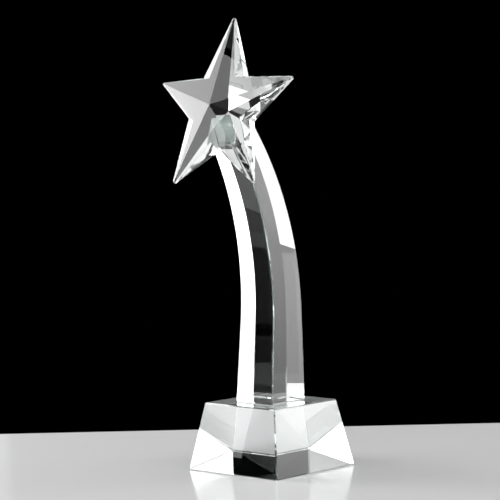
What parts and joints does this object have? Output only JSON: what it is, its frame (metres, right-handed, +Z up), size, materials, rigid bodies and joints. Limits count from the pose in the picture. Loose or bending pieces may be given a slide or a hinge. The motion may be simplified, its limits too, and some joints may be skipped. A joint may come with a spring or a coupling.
{
  "type": "star trophy",
  "caption": "Clear crystal award: a faceted star bonded to a square pillar that tapers and bows forwards from a heavy bevelled block base.",
  "frame": {"origin": "centre of the base block's flat underside", "axes": "+Z up along the pillar, -Y the way the star faces, +X to the right of someone facing the star; the trophy is symmetric about X = 0"},
  "size_m": [0.1164, 0.0934, 0.3026],
  "materials": {
    "base_crystal": "ground and polished clear optical crystal",
    "pillar_crystal": "ground and polished clear optical crystal",
    "star_crystal": "facet-cut and polished clear optical crystal",
    "adhesive": "clear cured adhesive"
  },
  "bodies": {
    "root": {"base_block": "base_crystal", "base_film": "adhesive", "pillar": "pillar_crystal", "star": "star_crystal", "star_film": "adhesive"}
  },
  "joints": []
}
